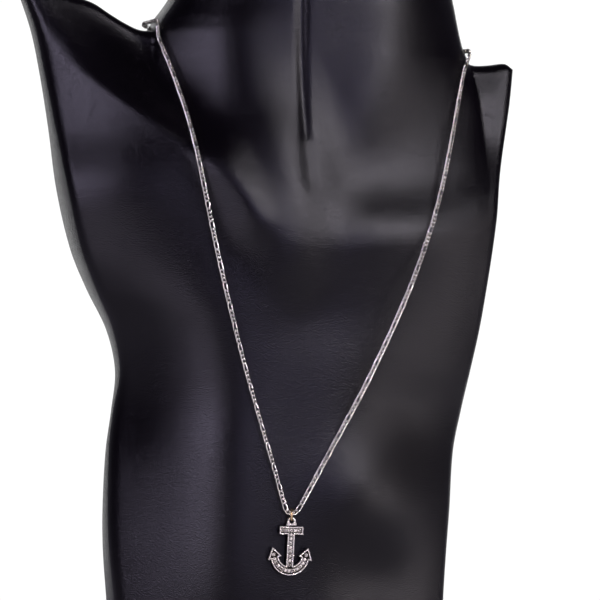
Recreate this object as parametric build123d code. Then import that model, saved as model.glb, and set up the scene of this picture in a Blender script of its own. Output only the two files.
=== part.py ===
from build123d import *
import math
import os

# An anchor pendant on a fine figaro chain, worn by a plain neck bust.
# Millimetres. Z is up, the bust faces -Y, X runs to the viewer's right.
# The origin is the middle of the base, on the surface that it stands on.

# Neck bust: main sizes
shoulder_half_width = 74.5
shoulder_height = 211.5
neck_top_height = 240.0
chest_depth = 38.5
back_depth = 23.0
seam_y = 9.5
shoulder_ridge_front = 10.5
shoulder_ridge_back = 3.0
shoulder_slope = 0.15
back_drop = 45.0
neck_side_depth = 4.0
throat_depth = 32.0
nape_depth = 19.5
neck_blend = 16.0
neck_dive = 0.6
neck_dive_start = 12.0
chest_roundness = 2.3
back_roundness = 2.6
neck_roundness = 2.2
edge_radius = 2.5
relief_height = 4.7
relief_width = 9.4
stroke_end = 1.2
fall_power = 1.5

# Side outline of the body. Height is a share of shoulder_height, left and right are shares of
# shoulder_half_width, and wall, the depth of the flat side wall, is a share of chest_depth.
# columns: height, left, right, wall
body_outline = [
    (0.000, -0.616, 0.699, 0.46),
    (0.122, -0.641, 0.718, 0.44),
    (0.192, -0.656, 0.736, 0.39),
    (0.250, -0.658, 0.754, 0.34),
    (0.335, -0.645, 0.776, 0.29),
    (0.393, -0.621, 0.812, 0.27),
    (0.450, -0.604, 0.839, 0.37),
    (0.507, -0.641, 0.868, 0.44),
    (0.565, -0.724, 0.886, 0.54),
    (0.622, -0.791, 0.903, 0.61),
    (0.708, -0.849, 0.930, 0.63),
    (0.794, -0.882, 0.986, 0.46),
    (0.880, -0.920, 1.028, 0.34),
    (0.937, -0.953, 1.039, 0.32),
    (1.000, -1.011, 1.046, 0.29),
]

# Top line of each shoulder, and the sides of the neck.
# columns: across, a share of shoulder_half_width; height, a share of shoulder_height
left_shoulder_line = [
    (-1.011, 1.000),
    (-0.926, 0.992),
    (-0.843, 0.986),
    (-0.777, 0.980),
    (-0.710, 0.972),
    (-0.644, 0.957),
    (-0.577, 0.943),
    (-0.519, 0.934),
    (-0.461, 0.933),
]
right_shoulder_line = [
    (0.827, 0.893),
    (0.843, 0.888),
    (0.870, 0.886),
    (0.932, 0.887),
    (0.995, 0.889),
    (1.028, 0.881),
]
# columns: height above the notch as a share of the neck's height there, across as above
neck_left_side = [
    (-0.80, -0.520),
    (-0.25, -0.486),
    (0.00, -0.461),
    (0.05, -0.444),
    (0.10, -0.428),
    (0.14, -0.411),
    (0.23, -0.378),
    (0.41, -0.332),
    (0.61, -0.299),
    (1.00, -0.278),
]
neck_right_side = [
    (-0.80, 0.900),
    (-0.25, 0.862),
    (0.00, 0.827),
    (0.06, 0.810),
    (0.13, 0.798),
    (0.23, 0.785),
    (0.30, 0.777),
    (0.36, 0.769),
    (0.59, 0.752),
    (1.00, 0.744),
]

# Line of the collarbones, above which the front falls back to the shoulders' ridge.
# columns: across, height as above, and the height over which it falls back
collarbone_line = [
    (-1.039, 0.930, 0.12),
    (-0.786, 0.868, 0.12),
    (-0.630, 0.828, 0.12),
    (-0.477, 0.788, 0.13),
    (-0.327, 0.744, 0.20),
    (-0.214, 0.704, 0.34),
    (-0.116, 0.664, 0.46),
    (0.009, 0.630, 0.52),
    (0.155, 0.626, 0.42),
    (0.260, 0.622, 0.30),
    (0.367, 0.622, 0.24),
    (0.605, 0.616, 0.24),
    (0.775, 0.622, 0.24),
    (1.004, 0.700, 0.16),
]

# Muscles, bones and hollows of the front, each a soft stroke of raised or sunk surface.
# columns: name, rise as a share of relief_height, width as a share of relief_width,
# and the stroke's path as (across, height) shares of the two shoulder sizes
relief_strokes = [
    ("left neck muscle", 0.35, 1.20, [(-0.352, 1.138), (-0.250, 0.940), (-0.110, 0.820)]),
    ("throat column", 0.70, 1.20, [(-0.110, 0.810), (-0.048, 0.700), (-0.065, 0.590)]),
    ("throat groove", -0.17, 0.17, [(0.087, 1.138), (0.081, 0.894), (0.085, 0.765), (0.105, 0.700), (0.140, 0.655)]),
    ("right neck muscle", 0.48, 1.25, [(0.500, 1.000), (0.446, 0.894), (0.352, 0.808), (0.300, 0.765)]),
    ("left collarbone", 0.72, 0.72, [(-0.300, 0.775), (-0.215, 0.722), (-0.160, 0.680), (-0.130, 0.640)]),
    ("right collarbone", 0.42, 0.95,
     [(0.258, 0.656), (0.367, 0.658), (0.605, 0.654), (0.775, 0.660), (0.883, 0.690)]),
    ("hollow of the breastbone", -0.28, 1.30, [(0.110, 0.560), (0.190, 0.500)]),
    ("left chest ridge", 0.75, 1.60, [(-0.330, 0.565), (-0.270, 0.479), (-0.250, 0.100)]),
    ("right chest", 1.15, 1.70, [(0.185, 0.275), (0.500, 0.262)]),
    ("hollow under the right chest", -0.80, 1.60, [(0.400, 0.150)]),
    ("dip above the right chest", -0.32, 1.28, [(0.525, 0.400)]),
    ("left shoulder", 0.25, 1.40, [(-0.638, 0.720)]),
    ("right shoulder", 0.38, 0.85, [(0.910, 0.837)]),
    ("left flank", -0.64, 0.96, [(-0.633, 0.522), (-0.608, 0.335)]),
]

# Faces of the bust: counts of columns and rows
left_shoulder_columns = 9
neck_columns = 20
right_shoulder_columns = 6
lower_rows = 10
upper_rows = 24
neck_rows = 8
rows_break = 0.52

# Chain: a fine figaro chain, 18 inches round, as one plain tube
chain_diameter = 1.5
chain_clearance = 0.35
# The chain's path over the front, from the left notch down to the pendant and up to the right
# notch. columns: across and height as above, and how far the tight chain stands off the bust
# there, a share of chest_depth
chain_left_path = [
    (-0.470, 0.925, 0.111),
    (-0.430, 0.880, 0.064),
    (-0.385, 0.813, 0.038),
    (-0.365, 0.761, 0.022),
    (-0.340, 0.715, 0.017),
    (-0.293, 0.631, 0.039),
    (-0.240, 0.547, 0.026),
    (-0.181, 0.463, 0.038),
    (-0.116, 0.381, 0.029),
    (-0.057, 0.311, 0.027),
]
chain_right_path = [
    (0.118, 0.305, 0.024),
    (0.208, 0.359, 0.010),
    (0.320, 0.430, 0.063),
    (0.421, 0.504, 0.098),
    (0.515, 0.578, 0.099),
    (0.607, 0.660, 0.018),
    (0.662, 0.716, 0.067),
    (0.708, 0.772, 0.058),
    (0.752, 0.828, 0.018),
    (0.790, 0.877, 0.010),
]
nape_turns = 10
# Room for the rounded corners of the path: round the neck, and over the ridge of the shoulders
nape_allowance = 0.7
ridge_allowance = 1.9

# Clasp at the nape
clasp_length = 10.0
clasp_height = 4.0
clasp_thickness = 2.0
clasp_slot_length = 4.6
clasp_slot_height = 1.5

# Jump ring, and the pendant's eye that hangs in it
pendant_across = 0.0107
pendant_height = 0.2392
ring_outer_diameter = 3.9
ring_wire = 0.6
ring_turn = -12.0
eye_outer_diameter = 2.4
eye_hole_diameter = 1.5
joint_clearance = 0.2

# Anchor, a flat plate with a raised rim round sunken beds for the stones.
# Its own frame has the eye's centre at the origin, v up and n out of the front.
anchor_drop = 16.2
plate_thickness = 1.6
rim_width = 0.3
bed_depth = 0.5
stock_length = 7.0
stock_height = 2.3
stock_waist = 0.12
stock_top = 14.6
shank_width = 2.0
arm_outer_radius = 5.75
arm_inner_radius = 3.68
arm_inner_rise = 2.52
fluke_tip = (5.45, 8.24)
fluke_inner_barb = (2.65, 5.78)
fluke_outer_barb = (6.63, 4.41)
eye_neck_width = 3.2
anchor_lean = 1.8

# Stones: small round brilliants, and the grains of metal that hold them
stone_diameter = 1.1
stone_pitch = 1.3
crown_share = 0.16
table_share = 0.55
star_share = 0.78
pavilion_share = 0.43
girdle_share = 0.03
stone_rise = 0.08
seat_clearance = 0.04
grain_diameter = 0.26
grain_height = 0.3
grain_spread = 0.47
stock_stones = 5
shank_stones = 8
arm_stones = 11
arm_stone_step = 15.0
fluke_stone_place = (4.95, 6.1)


# Curves through the rows of a table

def smooth(rows, at, place=0, column=1):
    """One column of a table, read between its rows on a smooth curve."""
    last = len(rows) - 1
    if at <= rows[0][place]:
        return rows[0][column]
    if at >= rows[last][place]:
        return rows[last][column]
    k = 0
    while rows[k + 1][place] < at:
        k += 1

    def slope(i):
        low = max(i - 1, 0)
        high = min(i + 1, last)
        return (rows[high][column] - rows[low][column]) / (rows[high][place] - rows[low][place])

    span = rows[k + 1][place] - rows[k][place]
    t = (at - rows[k][place]) / span
    start = rows[k][column]
    end = rows[k + 1][column]
    return (
        start * (2 * t**3 - 3 * t**2 + 1)
        + end * (3 * t**2 - 2 * t**3)
        + slope(k) * span * (t**3 - 2 * t**2 + t)
        + slope(k + 1) * span * (t**3 - t**2)
    )


def mix(start, end, share):
    return start + (end - start) * share


def eased(count):
    """Shares from 0 to 1, close together at both ends."""
    return [(1 - math.cos(math.pi * i / count)) / 2 for i in range(count + 1)]


# Bust: outline

notch_left = (
    left_shoulder_line[-1][0] * shoulder_half_width,
    left_shoulder_line[-1][1] * shoulder_height,
)
notch_right = (
    right_shoulder_line[0][0] * shoulder_half_width,
    right_shoulder_line[0][1] * shoulder_height,
)


def body_left(z):
    return smooth(body_outline, z / shoulder_height, 0, 1) * shoulder_half_width


def body_right(z):
    return smooth(body_outline, z / shoulder_height, 0, 2) * shoulder_half_width


def wall_depth(z):
    return smooth(body_outline, z / shoulder_height, 0, 3) * chest_depth


def neck_left(z):
    rise = (z - notch_left[1]) / (neck_top_height - notch_left[1])
    return smooth(neck_left_side, rise) * shoulder_half_width


def neck_right(z):
    rise = (z - notch_right[1]) / (neck_top_height - notch_right[1])
    return smooth(neck_right_side, rise) * shoulder_half_width


def top_line(x):
    """Height of the shoulders at x, with a straight line from notch to notch across the neck."""
    across = x / shoulder_half_width
    if x < notch_left[0]:
        return smooth(left_shoulder_line, across) * shoulder_height
    if x > notch_right[0]:
        return smooth(right_shoulder_line, across) * shoulder_height
    share = (x - notch_left[0]) / (notch_right[0] - notch_left[0])
    return mix(notch_left[1], notch_right[1], share)


# Bust: depth in front of the seam and behind it

def smooth_max(a, b):
    """The larger of two depths, with a rounded join where they are nearly the same."""
    near = max(1 - abs(a - b) / neck_blend, 0.0)
    return max(a, b) + neck_blend * near**2 / 4


def relief(x, z):
    total = 0.0
    for _, rise, width, path in relief_strokes:
        reach = width * relief_width
        places = [(across * shoulder_half_width, height * shoulder_height) for across, height in path]
        if len(places) == 1:
            total += rise * relief_height * math.exp(-(math.dist((x, z), places[0]) / reach) ** 2)
        for (x0, z0), (x1, z1) in zip(places, places[1:]):
            length = math.dist((x0, z0), (x1, z1))
            along = ((x - x0) * (x1 - x0) + (z - z0) * (z1 - z0)) / length
            aside = ((x - x0) * (z1 - z0) - (z - z0) * (x1 - x0)) / length
            ends = math.tanh(stroke_end * along / reach) - math.tanh(stroke_end * (along - length) / reach)
            total += rise * relief_height * ends / 2 * math.exp(-((aside / reach) ** 2))
    return total


def collar_height(x):
    return smooth(collarbone_line, x / shoulder_half_width) * shoulder_height


def collar_fall(x, z, chest):
    """Depth of the front: the chest up to the collarbones, then back to the ridge of the shoulders."""
    fall_height = smooth(collarbone_line, x / shoulder_half_width, 0, 2) * shoulder_height
    share = min(max((z - collar_height(x)) / fall_height, 0.0), 1.0)
    ridge = shoulder_ridge_front + shoulder_slope * (top_line(x) - z)
    return mix(chest, min(ridge, chest), share**fall_power * (1 + fall_power * (1 - share)))


def back_fall(x, z, back):
    """Depth of the back, which falls to the ridge of the shoulders near their top."""
    below = (top_line(x) - z) / back_drop
    share = 1 - (1 - min(below, 1.0)) ** 2 if below > 0 else 2 * below
    return mix(shoulder_ridge_back, back, share)


def neck_round(x, z, side, middle):
    """Depth of the neck, a flattened round, from its sides to its middle line."""
    left = neck_left(z)
    right = neck_right(z)
    across = abs(2 * x - left - right) / (right - left)
    if across >= 1:
        return side - (across - 1) * (right - left) / 2
    return side + (middle - side) * math.sqrt(1 - across**neck_roundness)


def edge_drop(x, z):
    """How far the surface falls away within edge_radius of the side walls and shoulder tops."""
    if z > top_line(x) + 0.001:
        return 0.0
    near = min(x - body_left(z), body_right(z) - x)
    if x < notch_left[0] or x > notch_right[0]:
        near = min(near, top_line(x) - z)
    near = min(max(near, 0.0), edge_radius)
    return edge_radius - math.sqrt(edge_radius**2 - (edge_radius - near) ** 2)


def front_depth(x, z):
    left = body_left(z)
    right = body_right(z)
    wall = wall_depth(z)
    across = min(abs(2 * x - left - right) / (right - left), 1.0)
    chest = wall + (chest_depth - wall) * (1 - across**chest_roundness)
    torso = collar_fall(x, z, chest)
    below = max(collar_height(x) - z, 0.0)
    neck = neck_round(x, z, neck_side_depth, throat_depth) - neck_dive * below**2 / (below + neck_dive_start)
    return smooth_max(torso, neck) + relief(x, z) - edge_drop(x, z)


def rear_depth(x, z):
    left = body_left(z)
    right = body_right(z)
    across = min(abs(2 * x - left - right) / (right - left), 1.0)
    torso = back_fall(x, z, back_depth * (1 - across**back_roundness))
    return smooth_max(torso, neck_round(x, z, 0.0, nape_depth)) - edge_drop(x, z)


def front_point(x, z):
    return (x, seam_y - front_depth(x, z), z)


def rear_point(x, z):
    return (x, seam_y + rear_depth(x, z), z)


# Bust: faces

def closed_solid(polygons):
    """A solid from flat polygons that close round it."""
    faces = [Face(Wire.make_polygon([Vector(*p) for p in polygon], close=True)) for polygon in polygons]
    return Solid(Shell(faces))


def strip(first, second):
    """Triangles between two rows of points. Seen from outside, the first row is below."""
    triangles = []
    for k in range(len(first) - 1):
        triangles.append((first[k], first[k + 1], second[k + 1]))
        triangles.append((first[k], second[k + 1], second[k]))
    return triangles


def top_places():
    """Places where the columns of the body end, along the shoulders and the neck's root."""
    left = []
    tip = body_left(shoulder_height)
    for share in eased(left_shoulder_columns)[:-1]:
        x = mix(tip, notch_left[0], share)
        left.append((x, top_line(x)))
    neck = []
    for share in eased(neck_columns):
        x = mix(notch_left[0], notch_right[0], share)
        neck.append((x, top_line(x)))
    right = []
    corner_height = right_shoulder_line[-1][1] * shoulder_height
    corner = body_right(corner_height)
    for share in eased(right_shoulder_columns)[1:]:
        x = mix(notch_right[0], corner, share)
        height = top_line(x) if share < 1 else corner_height
        right.append((x, height))
    return left, neck, right


def bust_grid():
    """Rows of (x, z) places over the body, and rows over the neck."""
    left, neck, right = top_places()
    tops = left + neck + right
    body = []
    rises = [rows_break * j / lower_rows for j in range(lower_rows)]
    rises += [mix(rows_break, 1, j / upper_rows) for j in range(upper_rows + 1)]
    for rise in rises:
        row = []
        for x_top, z_top in tops:
            share = (x_top - body_left(z_top)) / (body_right(z_top) - body_left(z_top))
            z = z_top * rise
            row.append((mix(body_left(z), body_right(z), share), z))
        body.append(row)
    throat = [neck]
    for k in range(1, neck_rows + 1):
        rise = k / neck_rows
        row = []
        for x_root, z_root in neck:
            share = (x_root - notch_left[0]) / (notch_right[0] - notch_left[0])
            z = mix(z_root, neck_top_height, rise)
            low_left = neck_left(mix(notch_left[1], neck_top_height, rise))
            low_right = neck_right(mix(notch_right[1], neck_top_height, rise))
            row.append((mix(low_left, low_right, share), z))
        throat.append(row)
    return body, throat, len(left), len(left) + len(neck) - 1


def make_bust():
    body, throat, first, last = bust_grid()
    front = [[front_point(x, z) for x, z in row] for row in body]
    rear = [[rear_point(x, z) for x, z in row] for row in body]
    neck_front = [front[-1][first : last + 1]]
    neck_rear = [rear[-1][first : last + 1]]
    for row in throat[1:]:
        neck_front.append([front_point(x, z) for x, z in row])
        neck_rear.append([rear_point(x, z) for x, z in row])
    polygons = []
    for low, high in zip(front, front[1:]):
        polygons += strip(low, high)
    for low, high in zip(neck_front, neck_front[1:]):
        polygons += strip(low, high)
    for low, high in zip(rear, rear[1:]):
        polygons += strip(low[::-1], high[::-1])
    for low, high in zip(neck_rear, neck_rear[1:]):
        polygons += strip(low[::-1], high[::-1])
    sides = [
        ([row[0] for row in front], [row[0] for row in rear]),
        (front[-1][: first + 1], rear[-1][: first + 1]),
        ([row[0] for row in neck_front], [row[0] for row in neck_rear]),
    ]
    for near, far in sides:
        polygons += strip(near, far)
    sides = [
        ([row[-1] for row in neck_front], [row[-1] for row in neck_rear]),
        ([row[-1] for row in front], [row[-1] for row in rear]),
    ]
    for near, far in sides:
        polygons += strip(far, near)
    polygons += strip(front[-1][last:], rear[-1][last:])
    polygons.append(tuple(rear[0]) + tuple(front[0][::-1]))
    polygons.append(tuple(neck_front[-1]) + tuple(neck_rear[-1][::-1]))
    return closed_solid(polygons)


# Pendant: where it hangs

eye_x = pendant_across * shoulder_half_width
eye_z = pendant_height * shoulder_height
ring_radius = (ring_outer_diameter - ring_wire) / 2
ring_inner_radius = ring_outer_diameter / 2 - ring_wire
ring_z = eye_z + eye_hole_diameter / 2 - joint_clearance - ring_wire / 2 + ring_radius
ring_y = seam_y - front_depth(eye_x, ring_z) - chain_clearance - ring_outer_diameter / 2
chain_low_z = ring_z + ring_inner_radius - joint_clearance - chain_diameter / 2


def pendant_tilt():
    """Angle at which the plate leans in from its eye until its foot is close to the bust."""
    foot_y = seam_y - front_depth(eye_x, eye_z - anchor_drop) - chain_clearance - plate_thickness / 2
    return max(math.degrees(math.atan2(foot_y - ring_y, anchor_drop)), 0.0)


def place_pendant(shape):
    """Move a shape from the anchor's own frame to where the anchor hangs."""
    upright = Plane(origin=(0, 0, 0), x_dir=(1, 0, 0), z_dir=(0, -1, 0))
    shape = upright.location * Pos(0, 0, -plate_thickness / 2) * shape
    return Pos(eye_x, ring_y, eye_z) * Rot(0, anchor_lean, 0) * Rot(pendant_tilt(), 0, 0) * shape


# Anchor

def anchor_outline():
    """The flat shape of the anchor without its eye."""
    foot = -anchor_drop
    half_stock = stock_length / 2
    half_height = stock_height / 2
    stock_middle = foot + stock_top - half_height
    waist = half_height - stock_waist
    stock = make_face(Polyline(
        (-half_stock, stock_middle - half_height), (0, stock_middle - waist),
        (half_stock, stock_middle - half_height), (half_stock, stock_middle + half_height),
        (0, stock_middle + waist), (-half_stock, stock_middle + half_height), close=True,
    ))
    shank_low = foot + arm_inner_rise / 2
    shank_high = stock_middle
    shank = Pos(0, (shank_low + shank_high) / 2) * Rectangle(shank_width, shank_high - shank_low)
    outer = Pos(0, foot + arm_outer_radius) * Circle(arm_outer_radius)
    inner = Pos(0, foot + arm_inner_rise + arm_inner_radius) * Circle(arm_inner_radius)
    slope = (fluke_outer_barb[1] - fluke_inner_barb[1]) / (fluke_outer_barb[0] - fluke_inner_barb[0])
    middle = fluke_inner_barb[1] - slope * fluke_inner_barb[0]
    reach = 2 * arm_outer_radius
    above = make_face(Polyline(
        (-reach, foot + middle + slope * reach), (0, foot + middle),
        (reach, foot + middle + slope * reach), (reach, foot + 2 * reach),
        (-reach, foot + 2 * reach), close=True,
    ))
    shape = stock + shank + (outer - inner - above)
    for side in (-1, 1):
        corners = [(side * u, foot + v) for u, v in (fluke_tip, fluke_inner_barb, fluke_outer_barb)]
        shape += make_face(Polyline(*corners, close=True))
    return shape


def eye_outline():
    """The eye and the neck by which it stands on the stock."""
    stock_top_v = stock_top - anchor_drop
    neck = make_face(Polyline(
        (-eye_neck_width / 2, stock_top_v - rim_width), (eye_neck_width / 2, stock_top_v - rim_width),
        (eye_outer_diameter / 2, 0), (-eye_outer_diameter / 2, 0), close=True,
    ))
    return neck + Circle(eye_outer_diameter / 2)


def stone_places():
    """Name and place (u, v) of each stone, row by row."""
    foot = -anchor_drop
    places = []
    stock_v = foot + stock_top - stock_height / 2
    for k in range(stock_stones):
        places.append((f"stock_stone_{k + 1}", (k - (stock_stones - 1) / 2) * stone_pitch, stock_v))
    shank_top = stock_v - stone_pitch
    for k in range(shank_stones):
        places.append((f"shank_stone_{k + 1}", 0.0, shank_top - k * stone_pitch))
    inner_middle = arm_inner_rise + arm_inner_radius
    for k in range(arm_stones):
        angle = math.radians((k - (arm_stones - 1) / 2) * arm_stone_step)
        radius = (arm_outer_radius + arm_inner_radius) / 2
        middle = foot + (arm_outer_radius + inner_middle) / 2
        places.append((f"arm_stone_{k + 1}", radius * math.sin(angle), middle - radius * math.cos(angle)))
    for name, side in (("fluke_stone_left", -1), ("fluke_stone_right", 1)):
        places.append((name, side * fluke_stone_place[0], foot + fluke_stone_place[1]))
    return places


def grain_places(places):
    """Two grains beside each gap between neighbouring stones of a row."""
    grains = []
    for (name, u0, v0), (next_name, u1, v1) in zip(places, places[1:]):
        if name.split("_")[0] != next_name.split("_")[0] or name.startswith("fluke"):
            continue
        length = math.dist((u0, v0), (u1, v1))
        across = ((v0 - v1) / length, (u1 - u0) / length)
        for side in (-1, 1):
            u = (u0 + u1) / 2 + side * grain_spread * across[0]
            v = (v0 + v1) / 2 + side * grain_spread * across[1]
            grains.append((u, v))
    return grains


bed_level = plate_thickness - bed_depth


def make_setting():
    outline = anchor_outline()
    plate = extrude(outline, plate_thickness)
    plate += extrude(eye_outline(), plate_thickness - bed_depth)
    plate -= extrude(Circle(eye_hole_diameter / 2), plate_thickness)
    bed = offset(outline, -rim_width)
    plate -= Pos(0, 0, bed_level) * extrude(bed, plate_thickness)
    places = stone_places()
    seat_radius = stone_diameter / 2 + seat_clearance
    tip_radius = seat_radius / 5
    seat_depth = stone_diameter * pavilion_share
    for _, u, v in places:
        seat = Cone(tip_radius, seat_radius, seat_depth, align=(Align.CENTER, Align.CENTER, Align.MAX))
        plate -= Pos(u, v, bed_level) * seat
    for u, v in grain_places(places):
        grain = Cylinder(
            grain_diameter / 2, grain_height + rim_width,
            align=(Align.CENTER, Align.CENTER, Align.MAX),
        )
        plate += Pos(u, v, bed_level + grain_height) * grain
    return place_pendant(plate)


# Stones

def brilliant():
    """A round brilliant: table, stars, kites, upper girdle facets, girdle and pavilion."""
    radius = stone_diameter / 2
    crown = crown_share * stone_diameter
    girdle = girdle_share * stone_diameter
    star_level = girdle + crown * (1 - star_share * math.cos(math.pi / 8)) / (1 - table_share)

    def around(share, level, step):
        angle = step * math.pi / 8
        return (radius * share * math.cos(angle), radius * share * math.sin(angle), level)

    table = [around(table_share, girdle + crown, 2 * k) for k in range(8)]
    stars = [around(star_share, star_level, 2 * k + 1) for k in range(8)]
    rim = [around(1, girdle, k) for k in range(16)]
    low_rim = [around(1, 0, k) for k in range(16)]
    culet = (0, 0, -pavilion_share * stone_diameter)
    polygons = [tuple(table)]
    for k in range(8):
        following = (k + 1) % 8
        polygons.append((table[k], stars[k], table[following]))
        polygons.append((table[k], stars[k - 1], rim[2 * k], stars[k]))
        polygons.append((stars[k], rim[2 * k], rim[2 * k + 1]))
        polygons.append((stars[k], rim[2 * k + 1], rim[2 * following]))
    for k in range(16):
        following = (k + 1) % 16
        polygons.append((rim[k], low_rim[k], low_rim[following], rim[following]))
        polygons.append((low_rim[k], culet, low_rim[following]))
    return closed_solid(polygons)


# Jump ring, chain and clasp

def make_ring():
    ring = Torus(ring_radius, ring_wire / 2)
    return Pos(eye_x, ring_y, ring_z) * Rot(0, 0, ring_turn) * Rot(0, 90, 0) * ring


chain_stand = chain_diameter / 2 + chain_clearance


def neck_middle(z):
    return (neck_left(z) + neck_right(z)) / 2


clasp_z = (notch_left[1] + notch_right[1]) / 2 + chain_diameter
clasp_x = neck_middle(clasp_z)
nape_stand = chain_stand + nape_allowance
clasp_y = seam_y + nape_depth + nape_stand


def make_clasp():
    """A plain closed clasp: an oval with a slot, and a short round stub at each end."""
    body_length = clasp_length - 2 * chain_diameter
    oval = SlotOverall(body_length, clasp_height) - SlotOverall(clasp_slot_length, clasp_slot_height)
    body = extrude(oval, clasp_thickness / 2, both=True)
    body = fillet(body.edges().group_by(Axis.Z)[0] + body.edges().group_by(Axis.Z)[-1], clasp_thickness / 6)
    stub = Rot(0, 90, 0) * Cylinder(chain_diameter / 2, 2 * chain_diameter)
    for side in (-1, 1):
        body += Pos(side * (clasp_length / 2 - chain_diameter), 0, 0) * stub
    return Pos(clasp_x, clasp_y, clasp_z) * Rot(90, 0, 0) * body


def front_route(path):
    points = []
    for across, height, stand_off in path:
        x = across * shoulder_half_width
        z = height * shoulder_height
        y = seam_y - front_depth(x, z) - chain_stand - stand_off * chest_depth
        points.append((x, y, z))
    return points


def nape_route(notch, side):
    """Over the ridge of the shoulder at a notch and round the side of the neck to the clasp."""
    over_ridge = notch[1] + chain_stand + ridge_allowance
    edge = neck_right(over_ridge) if side > 0 else neck_left(over_ridge)
    ridge_y = seam_y - front_depth(edge, over_ridge) - chain_stand - ridge_allowance
    points = [
        (edge + side * nape_stand, ridge_y, over_ridge),
        (edge + side * nape_stand, seam_y - neck_side_depth, over_ridge),
    ]
    for k in range(1, nape_turns + 1):
        share = k / nape_turns
        z = mix(over_ridge, clasp_z, share)
        half = (neck_right(z) - neck_left(z)) / 2
        last_angle = math.pi / 2 - math.asin(clasp_length / 2 / half)
        angle = share * last_angle
        stand = nape_stand + ridge_allowance * (1 - share) ** 2
        reach = (half + stand) * math.cos(angle) ** (2 / neck_roundness)
        depth = (nape_depth + stand) * math.sin(angle)
        points.append((neck_middle(z) + side * reach, seam_y + depth, z))
    return points


def chain_points():
    low = [(eye_x + side * chain_diameter, ring_y, chain_low_z) for side in (-1, 1)]
    left = nape_route(notch_left, -1)[::-1] + front_route(chain_left_path)
    right = front_route(chain_right_path) + nape_route(notch_right, 1)
    return left + low + right


def make_chain():
    points = [Vector(*p) for p in chain_points()]
    radii = []
    for before, here, after in zip(points, points[1:], points[2:]):
        turn = (here - before).get_angle(after - here)
        shorter = min((here - before).length, (after - here).length)
        radii.append(0.45 * shorter / math.tan(math.radians(turn / 2)))
    print("chain radii", [round(r, 1) for r in radii])
    path = FilletPolyline(*points, radius=radii)
    section = Plane(origin=path @ 0, z_dir=path % 0) * Circle(chain_diameter / 2)
    tube = sweep(section, path)
    expected = math.pi * chain_diameter**2 / 4 * path.length
    print("chain length", round(path.length, 1), "volume ratio", round(tube.volume / expected, 4))
    return tube


def build():
    os.makedirs("parts", exist_ok=True)
    parts = {
        "neck_bust": make_bust(),
        "chain": make_chain(),
        "clasp": make_clasp(),
        "jump_ring": make_ring(),
        "anchor_setting": make_setting(),
    }
    cut = brilliant()
    for name, u, v in stone_places():
        parts[name] = place_pendant(Pos(u, v, bed_level + stone_rise) * cut)
    for name, shape in parts.items():
        export_step(shape, f"parts/{name}.step")


build()
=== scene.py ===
import math

import bmesh
import bpy
import numpy as np
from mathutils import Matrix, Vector


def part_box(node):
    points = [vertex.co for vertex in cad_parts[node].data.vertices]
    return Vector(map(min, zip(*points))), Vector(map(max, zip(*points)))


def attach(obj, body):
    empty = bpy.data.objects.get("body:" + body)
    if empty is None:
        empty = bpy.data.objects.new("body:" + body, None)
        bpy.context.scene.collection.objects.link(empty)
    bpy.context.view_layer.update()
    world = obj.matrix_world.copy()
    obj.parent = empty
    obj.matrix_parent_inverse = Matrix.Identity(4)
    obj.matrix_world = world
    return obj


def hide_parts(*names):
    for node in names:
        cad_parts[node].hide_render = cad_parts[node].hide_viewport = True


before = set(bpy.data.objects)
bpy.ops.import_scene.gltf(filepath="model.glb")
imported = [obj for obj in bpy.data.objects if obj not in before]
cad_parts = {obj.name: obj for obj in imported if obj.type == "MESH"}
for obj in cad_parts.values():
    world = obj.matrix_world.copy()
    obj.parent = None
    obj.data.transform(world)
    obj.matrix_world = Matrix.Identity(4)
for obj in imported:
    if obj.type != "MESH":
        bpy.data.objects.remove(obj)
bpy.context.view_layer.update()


# The neck bust
# A black plastic moulding with a satin, fine-grained skin: chest, collarbones and neck, slightly
# turned, cut flat at the base and at the top of the neck. It is moulded in a tool in one piece.

mm = 0.001

shoulder_half_width = 74.5
shoulder_height = 211.5
neck_top_height = 240.0
chest_depth = 38.5
back_depth = 23.0
seam_y = 9.5
back_drop = 45.0
shoulder_ridge_front = 10.5
shoulder_ridge_back = 3.0
shoulder_slope = 0.15
neck_side_depth = 4.0
throat_depth = 32.0
nape_depth = 19.5
neck_blend = 16.0
neck_dive = 0.6
neck_dive_start = 12.0
chest_roundness = 2.3
back_roundness = 2.6
neck_roundness = 2.2
edge_radius = 2.5
relief_height = 4.7
relief_width = 9.4
stroke_end = 1.2
fall_power = 1.5

# columns: height, left, right, wall
body_outline = [
    (0.000, -0.616, 0.699, 0.46),
    (0.122, -0.641, 0.718, 0.44),
    (0.192, -0.656, 0.736, 0.39),
    (0.250, -0.658, 0.754, 0.34),
    (0.335, -0.645, 0.776, 0.29),
    (0.393, -0.621, 0.812, 0.27),
    (0.450, -0.604, 0.839, 0.37),
    (0.507, -0.641, 0.868, 0.44),
    (0.565, -0.724, 0.886, 0.54),
    (0.622, -0.791, 0.903, 0.61),
    (0.708, -0.849, 0.930, 0.63),
    (0.794, -0.882, 0.986, 0.46),
    (0.880, -0.920, 1.028, 0.34),
    (0.937, -0.953, 1.039, 0.32),
    (1.000, -1.011, 1.046, 0.29),
]
# columns: across, height
left_shoulder_line = [
    (-1.011, 1.000),
    (-0.926, 0.992),
    (-0.843, 0.986),
    (-0.777, 0.980),
    (-0.710, 0.972),
    (-0.644, 0.957),
    (-0.577, 0.943),
    (-0.519, 0.934),
    (-0.461, 0.933),
]
right_shoulder_line = [
    (0.827, 0.893),
    (0.843, 0.888),
    (0.870, 0.886),
    (0.932, 0.887),
    (0.995, 0.889),
    (1.028, 0.881),
]
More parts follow.
